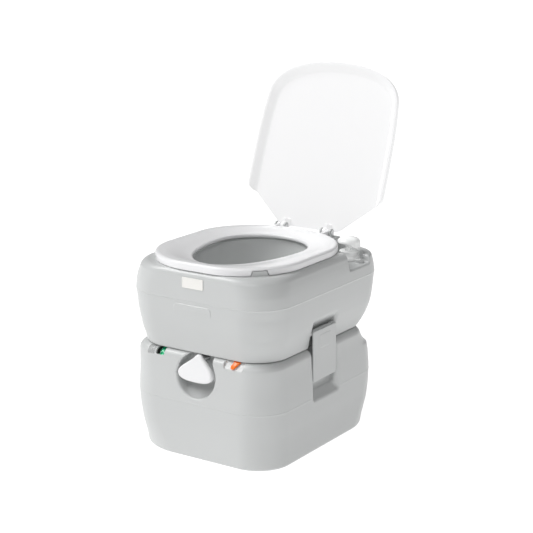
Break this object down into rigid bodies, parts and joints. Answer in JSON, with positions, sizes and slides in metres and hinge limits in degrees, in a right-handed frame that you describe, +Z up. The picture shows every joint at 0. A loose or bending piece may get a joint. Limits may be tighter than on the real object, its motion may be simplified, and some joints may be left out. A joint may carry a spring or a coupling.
{
  "type": "portable camp toilet",
  "caption": "Portable flush toilet: waste tank with slide valve, latched fresh tank with bowl and pump, hinged seat and open lid.",
  "frame": {"origin": "on the floor, under the middle of the waste tank", "axes": "+Z up; the front with the pull handle faces -Y; +X is the side with the flush pump"},
  "size_m": [0.345, 0.5236, 0.7077],
  "materials": {
    "tank_grey": "satin",
    "white": "gloss",
    "milky_white": "satin, slightly translucent",
    "dark_plastic": "matte",
    "green": "gloss",
    "orange": "gloss",
    "clear": "clear",
    "seal_rubber": "matte",
    "steel": "satin",
    "foam": "closed-cell foam"
  },
  "bodies": {
    "waste": {"waste_tank": "tank_grey", "valve_base": "dark_plastic", "valve_cover": "white", "valve_lower_seal": "seal_rubber", "valve_upper_seal": "seal_rubber", "valve_screw_1": "steel", "valve_screw_2": "steel", "valve_screw_3": "steel", "valve_screw_4": "steel", "indicator_window": "clear", "indicator_bracket": "tank_grey", "float_pin": "steel", "vent_seal": "seal_rubber", "spout_seal": "seal_rubber"},
    "slide_valve": {"valve_blade": "white", "valve_handle": "white"},
    "level_float": {"level_flag": "green", "float_arm": "white", "float_drum": "foam"},
    "vent": {"vent_lever": "orange", "vent_spindle": "white"},
    "spout": {"spout_elbow": "tank_grey"},
    "spout_cap_carrier": {"spout_cap_seal": "seal_rubber"},
    "spout_cap": {"spout_cap": "dark_plastic"},
    "fresh": {"fresh_tank": "tank_grey", "label_plate": "white", "hinge_right_block": "tank_grey", "hinge_right_pin": "white", "hinge_left_block": "tank_grey", "hinge_left_pin": "white", "pump_barrel": "milky_white", "pump_spring": "steel", "pump_hose": "seal_rubber", "flush_nozzle": "white", "latch_right_pin": "steel", "latch_left_pin": "steel"},
    "pump": {"pump_rod": "milky_white", "pump_knob": "milky_white", "pump_piston": "seal_rubber"},
    "filler_cap_carrier": {"filler_seal": "seal_rubber"},
    "filler_cap": {"filler_cap": "white"},
    "latch_right": {"latch_right_flap": "tank_grey", "latch_right_hook": "tank_grey"},
    "latch_left": {"latch_left_flap": "tank_grey", "latch_left_hook": "tank_grey"},
    "seat": {"seat": "white"},
    "lid": {"lid": "white"}
  },
  "joints": [
    {"name": "waste_valve", "type": "slide", "parent": "waste", "child": "slide_valve", "axis": [0, -1, 0], "range_m": [0, 0.098]},
    {"name": "level_gauge", "type": "hinge", "parent": "waste", "child": "level_float", "pos_m": [-0.094, -0.1771, 0.1811], "axis": [1, 0, 0], "range_deg": [0, 45]},
    {"name": "vent_turn", "type": "hinge", "parent": "waste", "child": "vent", "pos_m": [0.086, -0.18164, 0.19636], "axis": [0, -0.7071, 0.7071], "range_deg": [0, 70]},
    {"name": "spout_swing", "type": "hinge", "parent": "waste", "child": "spout", "pos_m": [-0.108, 0.172, 0.183], "axis": [0, 0, 1], "range_deg": [0, 90]},
    {"name": "spout_cap_travel", "type": "slide", "parent": "spout", "child": "spout_cap_carrier", "axis": [1, 0, 0], "range_m": [0, 0.012]},
    {"name": "spout_cap_turn", "type": "hinge", "parent": "spout_cap_carrier", "child": "spout_cap", "pos_m": [0.05, 0.172, 0.183], "axis": [1, 0, 0], "range_deg": [0, 720]},
    {"name": "tank_lift", "type": "slide", "parent": "waste", "child": "fresh", "axis": [0, 0, 1], "range_m": [0, 0.12], "deforming": ["latch_right_hook", "latch_left_hook"]},
    {"name": "seat_hinge", "type": "hinge", "parent": "fresh", "child": "seat", "pos_m": [0, 0.1727, 0.381], "axis": [1, 0, 0], "range_deg": [-100, 0]},
    {"name": "lid_hinge", "type": "hinge", "parent": "fresh", "child": "lid", "pos_m": [0, 0.1727, 0.381], "axis": [1, 0, 0], "range_deg": [0, 110.5]},
    {"name": "flush_pump", "type": "slide", "parent": "fresh", "child": "pump", "axis": [0, 0, -1], "range_m": [0, 0.01], "stiffness_N_per_m": 600, "springref_m": -0.004, "deforming": ["pump_spring"]},
    {"name": "filler_cap_travel", "type": "slide", "parent": "fresh", "child": "filler_cap_carrier", "axis": [0, 0, 1], "range_m": [0, 0.012]},
    {"name": "filler_cap_turn", "type": "hinge", "parent": "filler_cap_carrier", "child": "filler_cap", "pos_m": [-0.121, 0.151, 0.35], "axis": [0, 0, 1], "range_deg": [0, 720]},
    {"name": "latch_right_flip", "type": "hinge", "parent": "fresh", "child": "latch_right", "pos_m": [0.157, -0.011, 0.238], "axis": [0, -1, 0], "range_deg": [0, 95]},
    {"name": "latch_left_flip", "type": "hinge", "parent": "fresh", "child": "latch_left", "pos_m": [-0.157, -0.011, 0.238], "axis": [0, 1, 0], "range_deg": [0, 95]}
  ],
  "couplings": [
    {"joint": "spout_cap_travel", "follows": "spout_cap_turn", "m_per_rad": 0.00095493},
    {"joint": "filler_cap_travel", "follows": "filler_cap_turn", "m_per_rad": 0.00095493}
  ]
}
